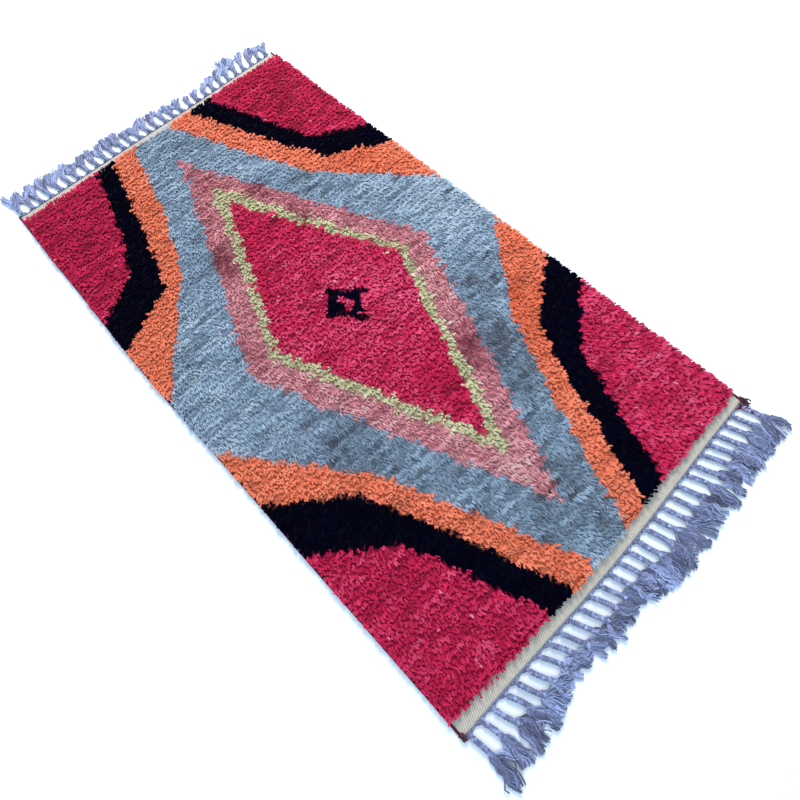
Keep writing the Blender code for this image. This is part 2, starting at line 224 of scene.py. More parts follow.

# Each yarn: three tones, how far its strands stray from the middle one, how strongly its rows are streaked
# with painted light and shade and grooved, its cut, how the strands lean and curl, how thick they are, how
# many are pale flecks, and how they shine
Yarn = namedtuple("Yarn", "dark middle light spread streak cut lean curl girth flecks sheen specular")
YARNS = {
    "crimson": Yarn(
        linear(126, 4, 34), linear(183, 27, 74), linear(208, 86, 124),
        0.17, 0.50, BUSHY, 0.62, 1.10, 1.06, 0.003, 0.06, 0.18,
    ),
    "navy": Yarn(
        linear(0, 0, 10), linear(1, 1, 18), linear(6, 6, 32),
        0.30, 0.30, BUSHY, 0.55, 0.90, 1.08, 0.0, 0.0, 0.03,
    ),
    "orange": Yarn(
        linear(188, 78, 46), linear(217, 116, 87), linear(234, 152, 124),
        0.22, 0.26, BUSHY, 0.52, 1.20, 1.08, 0.0, 0.04, 0.18,
    ),
    "blue": Yarn(
        linear(70, 75, 88), linear(137, 163, 186), linear(182, 198, 210),
        0.13, 0.62, STRAIGHT, 1.00, 0.66, 1.00, 0.0, 0.06, 0.18,
    ),
    "rose": Yarn(
        linear(120, 50, 68), linear(194, 124, 134), linear(214, 180, 182),
        0.32, 0.50, STRAIGHT, 0.95, 0.72, 1.02, 0.0, 0.06, 0.18,
    ),
    "olive": Yarn(
        linear(138, 132, 96), linear(179, 178, 141), linear(200, 200, 170),
        0.20, 0.34, BUSHY, 0.70, 0.90, 0.98, 0.0, 0.04, 0.18,
    ),
}
FLECK = linear(204, 118, 148)
UNDYED = linear(200, 198, 188)
UNDYED_SHADE = linear(108, 102, 92)
MAUVE = (linear(63, 68, 92), linear(105, 114, 148), linear(166, 187, 232))
WINE = linear(92, 14, 46)
WINE_DARK = linear(34, 6, 24)

# The wools: their fibres' scale round and along a strand and their depth, then how mottled and shiny
WoolRow = namedtuple("WoolRow", "fibre_scale fibre_depth mottle sheen specular")
WOOLS = {
    "pile_bed_wool": WoolRow((9.0, 9.0, 1.0), 0.0010, 0.20, 0.04, 0.08),
    "undyed_wool": WoolRow((3.0, 3.0, 1.0), 0.0003, 0.12, 0.10, 0.18),
    "wine_wool": WoolRow((6.0, 900.0, 1.0), 0.0004, 0.25, 0.20, 0.18),
    "fringe_wool": WoolRow((9.0, 14.0, 1.0), 0.0006, 0.42, 0.05, 0.18),
}
for name, yarn in YARNS.items():
    WOOLS[f"wool_{name}"] = WoolRow((9.0, 2.2, 1.0), 0.0005, 0.14, yarn.sheen, yarn.specular)

# The knots
KNOT_ROWS = 122
KNOT_COLUMNS = 112
ROW_SLIDE = 0.35
KNOT_JITTER = (0.18, 0.14)
EVEN_COLUMNS = 4
STRAND_SIDES = 3
STRAND_SOFTNESS = 0.68
ROOT_Z = 0.0055
PILE_REACH = 0.0125
SWING_REACH = 0.006
STRAY = (0.0020, 0.0016)
TOP_SHARE = 0.7
PARTING_LEAN = 0.55
HEIGHT_SPREAD = 0.0009
ROOT_SPREAD = (0.0006, 0.0030)
TIP_SPREAD = (0.0012, 0.0022)
TIP_GAP = 0.2
TALL_SPREAD = 0.07
BOW_SPREAD = 0.0013
GIRTH_SPREAD = 0.12
BLOTCH_TONE = 0.25
# Rows along the streaks are lighter or darker: painted light and shade
STREAK_LIGHT_AND_SHADE = 1.3
KNOT_TONE_SPREAD = 0.55
STRAND_TONE_SPREAD = 0.60
PILE_SEED = 21

# Where the pile is parted into pieces: round the middle diamond and across the grey-blue
DIAMOND_REACH = (0.24, 0.56)
DIAMOND_Y = -0.03
BLUE_JOIN_Y = -0.05

# The bed of wool that the strands stand in
BED_Z = 0.0098
BED_RIM_Z = 0.0052
BED_RIM_WIDTH = 0.016
BED_INSET = 0.004
BED_COLUMNS = 110
BED_ROWS = 176
BED_SHADE = 0.72
BED_PARTING = 0.8
BED_LUMP = 0.6
BED_TONE = 0.25

# The rows part in long shallow grooves, and the pile is lumpy. Each unevenness is smooth noise, with
# the size of its lumps across and along the rug and the layer it is taken from
Field = namedtuple("Field", "across along layer")
PARTINGS = Field(0.110, 0.034, 3.0)
LUMPS = Field(0.026, 0.026, 8.0)
SWINGS = Field(0.075, 0.045, 12.0)
BLOTCHES = Field(0.120, 0.070, 17.0)
STREAKS = Field(0.060, 0.012, 23.0)
CLUSTERS = Field(0.150, 0.090, 29.0)
WOBBLES = {LEFT: Field(0.03, 1.0, 39.0), RIGHT: Field(0.03, 1.0, 41.0)}
PARTING_DEPTH = 0.0026
LUMP_DEPTH = 0.0020

# Here and there a row lies lower than its neighbours, in painted shade, more so in some places than in
# others
GROOVE_START = 0.08
GROOVE_DEPTH = 0.0090
GROOVE_SHADE = 1.35
CLUSTER_LEVEL = 0.70
CLUSTER_SWING = 1.90
CLUSTER_LIMITS = (0.15, 1.7)

# How much of the light reaches the pile between its lumps and where its rows part
PARTING_LIGHT = 0.14
LUMP_LIGHT = 0.08
PARTING_SHADE = 0.45
PARTING_START = 0.35

# The tufts at the sides hang over the selvedge, and those at the ends lean out over the bare bands
OVERHANG_WIDTH = 0.030
OVERHANG_REACH = 0.0042
OVERHANG_DROOP = 0.42
OVERHANG_POWER = 1.5
SIDE_INSETS = {LEFT: 0.0045, RIGHT: 0.0015}
NEAR_INSET = -0.002
NEAR_FRONT_WIDTH = 0.022
NEAR_FRONT_LEAN = 0.60
EDGE_CALM = 0.88
NEAR_STEP = 0.004
NEAR_STEPS = 21
NEAR_SEED = 5
FAR_INSET = 0.001
FAR_HANG_WIDTH = 0.044
FAR_HANG_REACH = 0.014
TOOTH = 0.0075
INNER_TOOTH = 0.0050
BLENDED_HALF_WIDTH = 0.36
BLENDED_HALF_LENGTH = 0.80

# The bare end bands
RIB_PITCH = 0.0050
RIB_SLANT = 0.36
RIB_HEIGHT = 0.0007
RIB_SAMPLES = 3
PICK_PITCH = 0.0052
PICK_HEIGHT = 0.00025
RIB_LIGHT = (0.34, 0.60)
PICK_LIGHT = 0.16
BAND_ROWS = 17
BAND_UNDER_PILE = 0.016
BACK_COLUMNS = 56
BACK_RELIEF = 0.0006
BACK_CONTRAST = 0.9
BACK_LIGHT = 0.8
COVERED_LIGHT = 0.5
COVERED_DROP = 0.0002

# How the flat cloth is laid out in its maps
MAP_HALF_WIDTH = 0.5
MAP_HALF_LENGTH = 0.9
MAP_SHARE = 0.48
YARN_MAP_SCALE = 40.0

# The selvedges
WRAP_PITCH = 0.0052
SELVEDGE_RINGS = 1050
SELVEDGE_SIDES = 6
SELVEDGE_TAIL = 0.008
SELVEDGE_INSET = 1.1
SELVEDGE_LIFT = 1.12
SELVEDGE_SWAY = 0.0004
WRAP_SWELL = (0.98, 0.14, 0.05)
WRAP_SHADE_AND_TONE = (0.5, 0.5, 0.2)
SIDE_NAMES = {LEFT: "left", RIGHT: "right"}

# The fringe
HEADER_OVERLAP = 0.0027
HEADER_OFFSET = 0.0036
FRINGE_MARGINS = (0.009, 0.018)
# Along each fringe: x, the cords' lean and length, and their locks' length and sweep
FRINGES = {
    "near": (
        (-0.47, 0.010, 0.060, 0.054, -0.10),
        (-0.36, 0.024, 0.058, 0.048, 0.15),
        (-0.26, 0.028, 0.056, 0.028, 0.75),
        (-0.15, 0.025, 0.056, 0.034, 0.40),
        (0.05, 0.016, 0.058, 0.052, 0.00),
        (0.15, 0.018, 0.060, 0.054, -0.05),
        (0.30, 0.026, 0.058, 0.050, -0.15),
        (0.47, 0.018, 0.056, 0.046, -0.65),
    ),
    "far": (
        (-0.47, -0.002, 0.054, 0.052, 0.45),
        (-0.36, -0.007, 0.044, 0.036, 0.60),
        (-0.20, -0.004, 0.044, 0.036, 0.60),
        (0.05, -0.003, 0.038, 0.028, 0.55),
        (0.20, 0.004, 0.034, 0.020, 0.50),
        (0.34, 0.014, 0.048, 0.052, 0.45),
        (0.47, 0.016, 0.044, 0.030, 0.30),
    ),
}
CORD_SWAY = 0.0030
CORD_SPREAD = 0.06
LEAN_SPREAD = 0.0008
FRINGE_SEED = 11
PLY_SEED = 51
FRAY_SEED = 71
TAIL_SEED = 91
CORD_DRAWS = 6
CORD_RINGS = 32
PLY_SIDES = 6
PLY_RADIUS = 0.0038
PLY_TURN_RADIUS = 0.0026
PLY_PITCH = 0.0120
PLY_Z = 0.0074
ROOT_FLARE = 0.0062
FLARE_SHARE = 0.24
FLARE_POWER = 1.6
CORD_END = 1.03
FLARE_THINNING = 0.30
PLY_SWELL = 0.06
PLY_FLATNESS = 0.85
FLARE_DROP = 0.25
PLY_LIGHT_AND_TONE = (0.25, -0.10)
SPECKLE = 0.30
WINE_SHARE = 0.75

# The frayed ends: where on the cord they start, how their locks spread, bend and wave, and their tone
FrayStyle = namedtuple("FrayStyle", "start fan bend wave width longer uneven tone")
FRAY_STYLES = {
    "near": FrayStyle(0.86, 0.25, 0.42, 0.50, 0.0042, 1.24, 0.05, 0.10),
    "far": FrayStyle(0.50, 0.11, 0.24, 0.24, 0.0018, 1.38, 0.40, 0.30),
}
FRAY_LOCKS = 4
FRAY_STRANDS = 9
FRAY_RINGS = 8
FRAY_RADIUS = 0.0020
FRAY_BLUNT_END = 0.97
FRINGE_SOFTNESS = 0.40
FRAY_SWAY = 0.22
SWAY_STEP = 0.8
BEND_POWER = 1.4
FRAY_RIPPLE = 0.0014
RIPPLE_ANGLE = 7.0
FRAY_LOWEST = 1.6
FRAY_TAPER = (1.10, 0.85)
FRAY_GIRTH = (0.75, 1.25)
FRAY_TONES = (0.30, 0.30, 0.12)

# Each lock of a frayed end, and each strand in it: its turn, bend and waves, its reach, its place and
# level, and the shapes of arrays with a value for each cord, lock or strand
LOCK_TURN = 0.14
LOCK_WAVES = (1.3, 2.2)
LOCK_WAVE_SIZE = (0.5, 1.4)
LOCK_REACH = (0.80, 1.10)
LOCK_LEVEL = (0.0024, 0.0080)
STRAND_TURN = 0.06
STRAND_BEND = 0.12
STRAND_WAVE = 0.20
STRAND_REACH = (0.92, 1.03)
STRAND_PLACE = (-1.3, 1.3)
STRAND_LEVEL = (-0.002, 0.002)
PHASES = (0.0, 6.0)
PER_CORD = (CORD_COUNT, 1, 1, 1)
PER_LOCK = (CORD_COUNT, FRAY_LOCKS, 1, 1)
PER_STRAND = (CORD_COUNT, FRAY_LOCKS, FRAY_STRANDS, 1)

# The headers
HEADER_RINGS = 300
HEADER_RADIUS = 0.0012
HEADER_PITCH = 0.0105
HEADER_SIDES = 5
HEADER_MARGIN = 0.010
HEADER_LIFT = 2.2
HEADER_PAINTED_LIGHT = 0.3

# The bunch of cut yarn at each selvedge's near end
TAIL_STRANDS = {LEFT: 10, RIGHT: 26}
TAIL_LENGTH = {LEFT: 0.010, RIGHT: 0.017}
TAIL_RINGS = 6
TAIL_START = (0.002, 0.018)
TAIL_ASIDE = (-0.001, 0.009)
TAIL_TURN = (0.45, 1.1)
TAIL_SPAN = (0.5, 1.0)
TAIL_Z = 0.003
TAIL_RISE = (0.002, 0.011)
TAIL_GIRTH = (0.0015, 0.0024)
TAIL_TAPER = (1.1, 0.8)
TAIL_ARC = (0.15, 0.75)


def share_of(values):
    """The values, held between 0 and 1."""
    return np.clip(values, 0.0, 1.0)


def eased(at, stations, values):
    """The values at some places, eased from each station of a short table to the next."""
    at = np.clip(at, stations[0], stations[-1])
    stations = np.asarray(stations)
    values = np.asarray(values)
    after = np.clip(np.searchsorted(stations, at), 1, len(stations) - 1)
    share = (at - stations[after - 1]) / (stations[after] - stations[after - 1])
    share = share * share * (3.0 - 2.0 * share)
    return values[after - 1] + (values[after] - values[after - 1]) * share


def side_x(y, side):
    """The rug's edge at the left (-1) or right (+1), the selvedge cord included."""
    values = [row.left_x if side == LEFT else row.right_x for row in SIDES]
    return eased(y, [row.y for row in SIDES], values)


def weave_side_x(y, side):
    """The ground weave's own edge, inside the selvedge cord."""
    return side_x(y, side) - side * (SELVEDGE_WIDTH + CLEARANCE)


def end_y(x, column):
    """The weave's or the pile's end, from the named column of the table of ends."""
    return eased(x, [row.x for row in ENDS], [getattr(row, column) for row in ENDS])


def in_diamond(x, y, rows):
    stations, left_x, right_x = zip(*rows)
    if not stations[0] < y < stations[-1]:
        return False
    return np.interp(y, stations, left_x) < x < np.interp(y, stations, right_x)


def in_band(x, y, row):
    """Whether a point lies beyond a band's inner edge, towards that row's corner of the rug."""
    if x * row.across < 0 or y * row.along < row.side_y:
        return False
    stations = [row.side_y, row.knee_y, row.waist_y, BAND_END_Y]
    edge = [BAND_SIDE_X, row.knee_x, row.waist_x, row.end_x]
    return abs(x) > np.interp(abs(y), stations, edge)


def near_line(x, y, start, end, reach):
    """Whether a point lies within a distance of a straight line between two points."""
    along = Vector(end) - Vector(start)
    offset = Vector((x, y)) - Vector(start)
    share = min(1.0, max(0.0, offset.dot(along) / along.length_squared))
    return (offset - along * share).length < reach


def in_motif(x, y):
    if math.hypot(x, y) > MOTIF_REACH:
        return False
    for reach, points in MOTIF_LINES:
        if any(near_line(x, y, start, end, reach) for start, end in zip(points, points[1:])):
            return True
    return False


def yarn_at(x, y):
    for yarn, rows in DIAMONDS.items():
        if in_diamond(x, y, rows):
            return yarn
    for row in BANDS:
        if in_band(x, y, row):
            return row.yarn
    return "blue"


def yarn_with_motif(x, y):
    return "navy" if in_motif(x, y) else yarn_at(x, y)


def noise_at(x, y, field):
    """Smooth noise from about -1 to 1 at arrays of places."""
    across, along, layer = field
    return np.array([noise.noise(Vector((a / across, b / along, layer))) for a, b in zip(x, y)])


def new_mesh_object(name, points, quads, triangles, colours, maps, normals=None):
    """A smooth mesh object of four-sided and three-sided faces, with a colour for each point."""
    corners = np.concatenate([quads.ravel(), triangles.ravel()]).astype(np.int32)
    quad_starts = np.arange(len(quads)) * 4
    triangle_starts = len(quads) * 4 + np.arange(len(triangles)) * 3
    starts = np.concatenate([quad_starts, triangle_starts]).astype(np.int32)

    mesh = bpy.data.meshes.new(name)
    mesh.vertices.add(len(points))
    mesh.vertices.foreach_set("co", points.astype(np.float32).ravel())
    mesh.loops.add(len(corners))
    mesh.loops.foreach_set("vertex_index", corners)
    mesh.polygons.add(len(starts))
    mesh.polygons.foreach_set("loop_start", starts)
    mesh.update(calc_edges=True)
    mesh.polygons.foreach_set("use_smooth", np.ones(len(starts), bool))

    rgba = np.concatenate([colours, np.ones((len(colours), 1))], axis=1)
    layer = mesh.color_attributes.new("Yarn", "FLOAT_COLOR", "POINT")
    layer.data.foreach_set("color", rgba.astype(np.float32).ravel())
    for uv_name, uv in zip(("OFBake", "Strand"), maps):
        uv_layer = mesh.uv_layers.new(name=uv_name)
        uv_layer.uv.foreach_set("vector", uv.astype(np.float32).ravel())
    mesh.validate()
    if normals is not None:
        mesh.normals_split_custom_set_from_vertices(normals.astype(np.float32))

    obj = bpy.data.objects.new(name, mesh)
    bpy.context.scene.collection.objects.link(obj)
    return obj


def dress(obj, finish, slot, *nodes):
    """Gives a finished piece its wool, its body and the solids that it stands for."""
    obj.data.materials.clear()
    obj.data.materials.append(bpy.data.materials.get(finish) or wool(finish))
    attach(obj, "root")
    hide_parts(*nodes)
    return obj


# Straight up, and how the tubes' faces are laid out in the maps
UP = np.array([0.0, 0.0, 1.0])
CELL_START = 0.06
CELL_WIDTH = 0.88
LOOSE_STEP = np.array([0.37, 0.73])
LOOSE_REACH = 7.0


def unit(vectors):
    return vectors / np.maximum(np.linalg.norm(vectors, axis=-1, keepdims=True), 1e-9)


def tubes(name, centres, radii, colours, sides, softness=0.0, reference=UP):
    """Many tapering tubes as one object. Each has rings round its centres and ends in a point.

    centres is tube, ring, xyz with the point last; radii has one ring fewer. softness turns the
    shading of fluffy yarn towards the light from above, by a share from 0 to 1. reference is a
    direction that a tube's path never follows, one for all tubes or one for each.
    """
    count, rings = radii.shape
    paths = centres[:, 1:] - centres[:, :-1]
    tangents = np.concatenate([paths[:, :1], (paths[:, 1:] + paths[:, :-1]) / 2], axis=1)
    tangents = unit(tangents)[:, :, None]
    aim = np.broadcast_to(reference, (count, 3))[:, None, None]
    across = unit(aim - (aim * tangents).sum(-1, keepdims=True) * tangents)
    upward = np.cross(tangents, across)
    angles = np.arange(sides) * (2 * math.pi / sides)
    ring = np.cos(angles)[:, None] * across + np.sin(angles)[:, None] * upward
    body = centres[:, :rings, None] + ring * radii[:, :, None, None]
    points = np.concatenate([body.reshape(count, rings * sides, 3), centres[:, rings:]], axis=1)
    normals = None
    if softness:
        outward = np.concatenate([ring.reshape(count, rings * sides, 3), tangents[:, -1]], axis=1)
        normals = unit(outward * (1.0 - softness) + softness * UP).reshape(-1, 3)

    here, below = np.meshgrid(np.arange(rings - 1), np.arange(sides), indexing="ij")
    after = (below + 1) % sides
    low = here * sides
    high = low + sides
    quads = np.stack([low + below, low + after, high + after, high + below], -1).reshape(-1, 4)
    last = np.arange(sides)
    rim = (rings - 1) * sides
    tips = np.stack([rim + last, rim + (last + 1) % sides, np.full(sides, rings * sides)], -1)
    first = np.arange(count)[:, None, None] * (rings * sides + 1)

    step = 1.0 / sides
    climb = 1.0 / rings
    quad_corners = np.array([(0.0, 0.0), (step, 0.0), (step, climb), (0.0, climb)])
    quad_uv = np.stack([below.ravel() / sides, here.ravel() / rings], -1)[:, None] + quad_corners
    tip_corners = np.array([(0.0, 0.0), (step, 0.0), (step / 2, climb)])
    tip_uv = np.stack([last * step, np.full(sides, 1.0 - climb)], -1)[:, None] + tip_corners
    grid = math.ceil(math.sqrt(count))
    index = np.arange(count)
    cell = np.stack([index % grid, index // grid], -1)[:, None, None]
    offset = (index[:, None] * LOOSE_STEP)[:, None, None] % LOOSE_REACH
    bake = [((cell + CELL_START + CELL_WIDTH * uv) / grid).reshape(-1, 2) for uv in (quad_uv, tip_uv)]
    strand = [(uv + offset).reshape(-1, 2) for uv in (quad_uv, tip_uv)]

    ring_colours = np.repeat(colours[:, :rings], sides, axis=1)
    point_colours = np.concatenate([ring_colours, colours[:, rings:]], axis=1)
    return new_mesh_object(
        name,
        points.reshape(-1, 3),
        (quads[None] + first).reshape(-1, 4),
        (tips[None] + first).reshape(-1, 3),
        point_colours.reshape(-1, 3),
        (np.concatenate(bake), np.concatenate(strand)),
        normals,
    )


def wool(name):
    """Matt wool: the piece's own yarn colours, streaked with fibres that also raise the surface."""
    row = WOOLS[name]
    made = bpy.data.materials.new(name)
    made.use_nodes = True
    nodes = made.node_tree.nodes
    links = made.node_tree.links

    def node(kind, **values):
        new = nodes.new("ShaderNode" + kind)
        for socket, value in values.items():
            new.inputs[socket.replace("_", " ")].default_value = value
        return new

    shader = nodes["Principled BSDF"]
    shader.inputs["Roughness"].default_value = 0.92
    shader.inputs["Specular IOR Level"].default_value = row.specular
    shader.inputs["Sheen Weight"].default_value = row.sheen
    shader.inputs["Sheen Roughness"].default_value = 0.55

    strand = node("UVMap")
    strand.uv_map = "Strand"
    stretch = node("Mapping", Scale=row.fibre_scale)
    fibres = node("TexNoise", Scale=1.0, Detail=3.0, Roughness=0.6)
    links.new(strand.outputs["UV"], stretch.inputs["Vector"])
    links.new(stretch.outputs["Vector"], fibres.inputs["Vector"])

    yarn = node("VertexColor")
    yarn.layer_name = "Yarn"
    streaks = node("MapRange", From_Min=0.3, From_Max=0.7, To_Min=1.0 - row.mottle, To_Max=1.0 + row.mottle)
    links.new(fibres.outputs["Fac"], streaks.inputs["Value"])
    tinted = node("VectorMath")
    tinted.operation = "SCALE"
    links.new(yarn.outputs["Color"], tinted.inputs[0])
    links.new(streaks.outputs["Result"], tinted.inputs["Scale"])
    links.new(tinted.outputs["Vector"], shader.inputs["Base Color"])

    bump = node("Bump", Strength=0.8, Distance=row.fibre_depth)
    links.new(fibres.outputs["Fac"], bump.inputs["Height"])
    links.new(bump.outputs["Normal"], shader.inputs["Normal"])
    return made


def toned(yarn, tone):
    """Colours of a yarn at tones from -1, its dark end, through 0 to 1, its light end."""
    dark, middle, light = yarn[:3]
    tone = np.clip(tone, -1.0, 1.0)[..., None]
    lighter = middle + (light - middle) * np.maximum(tone, 0.0)
    return lighter + (dark - middle) * np.maximum(-tone, 0.0)


def near_step(x):
    """The first row is knotted in short stretches, so the pile's near edge goes in and out a little."""
    draws = np.random.default_rng(NEAR_SEED).uniform(-1.0, 1.0, NEAR_STEPS)
    block = np.clip(((x + 0.5) * NEAR_STEPS).astype(int), 0, NEAR_STEPS - 1)
    return NEAR_STEP * draws[block]


def rug_place(across, along, inset=0.0):
    """Places of knots given as shares of the pile's width and length, each from 0 to 1."""
    y = BAND_END_Y * (2.0 * along - 1.0)
    x = np.zeros_like(y)
    for _ in range(3):
        left = side_x(y, LEFT) + SIDE_INSETS[LEFT] + inset
        right = side_x(y, RIGHT) - SIDE_INSETS[RIGHT] - inset
        x = left + (right - left) * across
        near = end_y(x, "near_pile_y") + NEAR_INSET + near_step(x) + inset
        far = end_y(x, "far_pile_y") - FAR_INSET - inset
        y = near + (far - near) * along
    return x, y


def knot_places(rng):
    """Roots of all knots, in rows that are a little uneven, with more of them along the two sides."""
    rows, columns = np.meshgrid(np.arange(KNOT_ROWS), np.arange(KNOT_COLUMNS), indexing="ij")
    slide = rng.uniform(-ROW_SLIDE, ROW_SLIDE, KNOT_ROWS)[:, None]
    slide = slide + rng.uniform(-1.0, 1.0, rows.shape) * KNOT_JITTER[0]
    inside = np.minimum(columns, KNOT_COLUMNS - 1 - columns)
    across = (columns + 0.5 + slide * share_of(inside / EVEN_COLUMNS)) / KNOT_COLUMNS
    along = (rows + 0.5 + rng.uniform(-1.0, 1.0, rows.shape) * KNOT_JITTER[1]) / KNOT_ROWS
    between = np.arange(1, KNOT_ROWS) / KNOT_ROWS
    first = np.full(len(between), 0.5 / KNOT_COLUMNS)
    return rug_place(
        np.concatenate([across.ravel(), first, 1.0 - first]),
        np.concatenate([along.ravel(), between, between]),
    )


def patch_tone(name, x, y):
    """How much darker or lighter one yarn is at some places, from its dye and from painted shade in deep
    partings.
    """
    tone = np.zeros_like(x)
    for spot_x, spot_y, radius_x, radius_y, change in PATCHES.get(name, ()):
        away = ((x - spot_x) / radius_x) ** 2 + ((y - spot_y) / radius_y) ** 2
        tone += change * np.exp(-away)
    return tone


def pile_waves(x, y):
    """The pile's unevenness: long shallow partings between the rows, and small lumps."""
    return noise_at(x, y, PARTINGS), noise_at(x, y, LUMPS)


def dimmed(parting, lump):
    """How much of the light reaches the pile where its rows part and between its lumps."""
    parted = share_of(-parting - PARTING_START)
    return 1.0 + PARTING_LIGHT * parting + LUMP_LIGHT * lump - PARTING_SHADE * parted


Knots = namedtuple("Knots", "x y reach_x reach_y height loose yarn tone dim")


def nearness(distance, width):
    """1 at an edge, falling to 0 at a distance from it."""
    return share_of(1.0 - distance / width)


def yarn_values(yarn, column):
    """A column of the table of yarns, for each of some yarns by name."""
    return np.array([getattr(YARNS[name], column) for name in yarn])


def knot_yarns(x, y, rng):
    """The yarn of each knot. The rows stray a little, so the patches end in teeth."""
    teeth = np.zeros(len(x))
    teeth[:KNOT_ROWS * KNOT_COLUMNS] = rng.uniform(-TOOTH, TOOTH, KNOT_ROWS).repeat(KNOT_COLUMNS)
    blended = np.abs(x) / BLENDED_HALF_WIDTH + np.abs(y) / BLENDED_HALF_LENGTH < 1.0
    teeth += rng.normal(0.0, INNER_TOOTH, len(x)) * blended
    return np.array([yarn_at(a, b) for a, b in zip(x + teeth, y - PILE_REACH * TOP_SHARE)])


def knot_leans(x, y, yarn, parting, lump, rng):
    """How far each knot leans across and along the rug, how high it stands and how loose it is."""
    lean = yarn_values(yarn, "lean")
    curl = yarn_values(yarn, "curl")
    near_front = nearness(y - end_y(x, "near_pile_y"), NEAR_FRONT_WIDTH)
    far_hang = nearness(end_y(x, "far_pile_y") - y, FAR_HANG_WIDTH)
    reach_y = -PILE_REACH * lean * (1.0 + PARTING_LEAN * parting) * (1.0 - NEAR_FRONT_LEAN * near_front)
    reach_x = SWING_REACH * lean * noise_at(x, y, SWINGS)
    droop = np.zeros(len(x))
    for side in (LEFT, RIGHT):
        hang = nearness(np.maximum(0.0, side * (side_x(y, side) - x)), OVERHANG_WIDTH)
        reach_x += side * OVERHANG_REACH * hang ** OVERHANG_POWER
        droop = np.maximum(droop, hang ** 2)
    loose = 1.0 - EDGE_CALM * np.maximum(np.maximum(near_front, far_hang), droop)
    reach_x += rng.normal(0.0, STRAY[0], len(x)) * curl * loose
    reach_y += rng.normal(0.0, STRAY[1], len(x)) * curl * loose + FAR_HANG_REACH * far_hang
    height = PILE_TOP - ROOT_Z + PARTING_DEPTH * parting + LUMP_DEPTH * lump
    height = (height + rng.normal(0.0, HEIGHT_SPREAD, len(x))) * (1.0 - OVERHANG_DROOP * droop)
    return reach_x, reach_y, height, loose


def knot_tones(x, y, yarn, rng):
    """The tone of each knot, from its dye and from painted light and shade, and how deep its row lies among
    the others.
    """
    streaky = yarn_values(yarn, "streak")
    streak = noise_at(x, y, STREAKS)
    cluster = np.clip(CLUSTER_LEVEL + CLUSTER_SWING * noise_at(x, y, CLUSTERS), *CLUSTER_LIMITS)
    groove = share_of(-streak - GROOVE_START) * streaky * cluster
    # Blotches are in the dye; the streaks are painted light and shade along the rows
    tone = BLOTCH_TONE * noise_at(x, y, BLOTCHES) + STREAK_LIGHT_AND_SHADE * streak * streaky
    tone += rng.normal(0.0, KNOT_TONE_SPREAD, len(x)) * yarn_values(yarn, "spread")
    for name in YARNS:
        tone += patch_tone(name, x, y - PILE_REACH * TOP_SHARE) * (yarn == name)
    return tone, groove


def knot_shapes(rng):
    """The place, lean, height, yarn and lightness of every knot, its lightness being painted light and
    shade.
    """
    x, y = knot_places(rng)
    yarn = knot_yarns(x, y, rng)
    parting, lump = pile_waves(x, y)
    reach_x, reach_y, height, loose = knot_leans(x, y, yarn, parting, lump, rng)
    tone, groove = knot_tones(x, y, yarn, rng)
    height -= GROOVE_DEPTH * groove
    # Painted shade in the grooves, on top of the painted light and shade of partings and lumps
    dim = dimmed(parting, lump) * (1.0 - GROOVE_SHADE * groove)
    return Knots(x, y, reach_x, reach_y, height, loose, yarn, tone, dim)


Strands = namedtuple("Strands", "path girth tone dim flecked")


def strands_of(knots, name, rng):
    """The strands of every knot of one yarn: their centre lines, radii and tones."""
    yarn = YARNS[name]
    cut = yarn.cut
    knots = Knots(*[values[knots.yarn == name] for values in knots])
    count = len(knots.x)
    many = (count, cut.strands)
    rings = len(cut.rise)
    spot = np.arange(cut.strands) - (cut.strands - 1) / 2
    root_x = knots.x[:, None] + cut.gap * spot + rng.normal(0.0, ROOT_SPREAD[0], many)
    root_y = knots.y[:, None] + rng.normal(0.0, ROOT_SPREAD[1], many)
    loose = knots.loose[:, None]
    tip_x = knots.reach_x[:, None] + cut.gap * TIP_GAP * spot
    tip_x += rng.normal(0.0, TIP_SPREAD[0], many) * yarn.curl * loose
    stray_y = rng.normal(0.0, TIP_SPREAD[1], many) * (0.5 + 0.5 * yarn.curl) * loose
    tip_y = knots.reach_y[:, None] + stray_y
    tall = knots.height[:, None] * (1.0 + rng.normal(0.0, TALL_SPREAD, many))
    bow = rng.normal(0.0, BOW_SPREAD, many + (rings, 2)) * yarn.curl * loose[:, :, None, None]
    bow[:, :, 0] = 0.0

    path = np.empty(many + (rings, 3))
    path[..., 0] = root_x[:, :, None] + tip_x[:, :, None] * cut.reach + bow[..., 0]
    path[..., 1] = root_y[:, :, None] + tip_y[:, :, None] * cut.reach + bow[..., 1]
    path[..., 2] = ROOT_Z + tall[:, :, None] * cut.rise
    swell = (1.0 + rng.normal(0.0, GIRTH_SPREAD, many))[:, :, None] * cut.swell
    tone = knots.tone[:, None] + rng.normal(0.0, STRAND_TONE_SPREAD, many) * yarn.spread
    flecked = rng.uniform(0.0, 1.0, count * cut.strands) < yarn.flecks
    return Strands(
        path.reshape(-1, rings, 3),
        (cut.radius * yarn.girth * swell).reshape(-1, rings - 1),
        tone.ravel(),
        np.repeat(knots.dim, cut.strands),
        flecked,
    )


def pile_part(name, x, y):
    """The pieces that strands of one yarn belong to, so that no piece grows too large."""
    if name == "crimson":
        middle = np.abs(x) / DIAMOND_REACH[0] + np.abs(y - DIAMOND_Y) / DIAMOND_REACH[1] < 1.0
        outer = np.where(y < 0, "pile_crimson_near", "pile_crimson_far")
        return np.where(middle, "pile_crimson_diamond", outer)
    if name == "blue":
        return np.where(y < BLUE_JOIN_Y, "pile_blue_near", "pile_blue_far")
    return np.full(x.shape, f"pile_{name}", dtype="<U24")


def yarn_colours(name, strands, chosen):
    """A colour for each ring of the chosen strands, with painted shade towards the roots and the knots'
    dimming.
    """
    yarn = YARNS[name]
    colour = toned(yarn, strands.tone[chosen])
    colour[strands.flecked[chosen]] = FLECK
    shade = np.array(yarn.cut.shade)[None, :] * strands.dim[chosen][:, None]
    return colour[:, None] * shade[:, :, None]


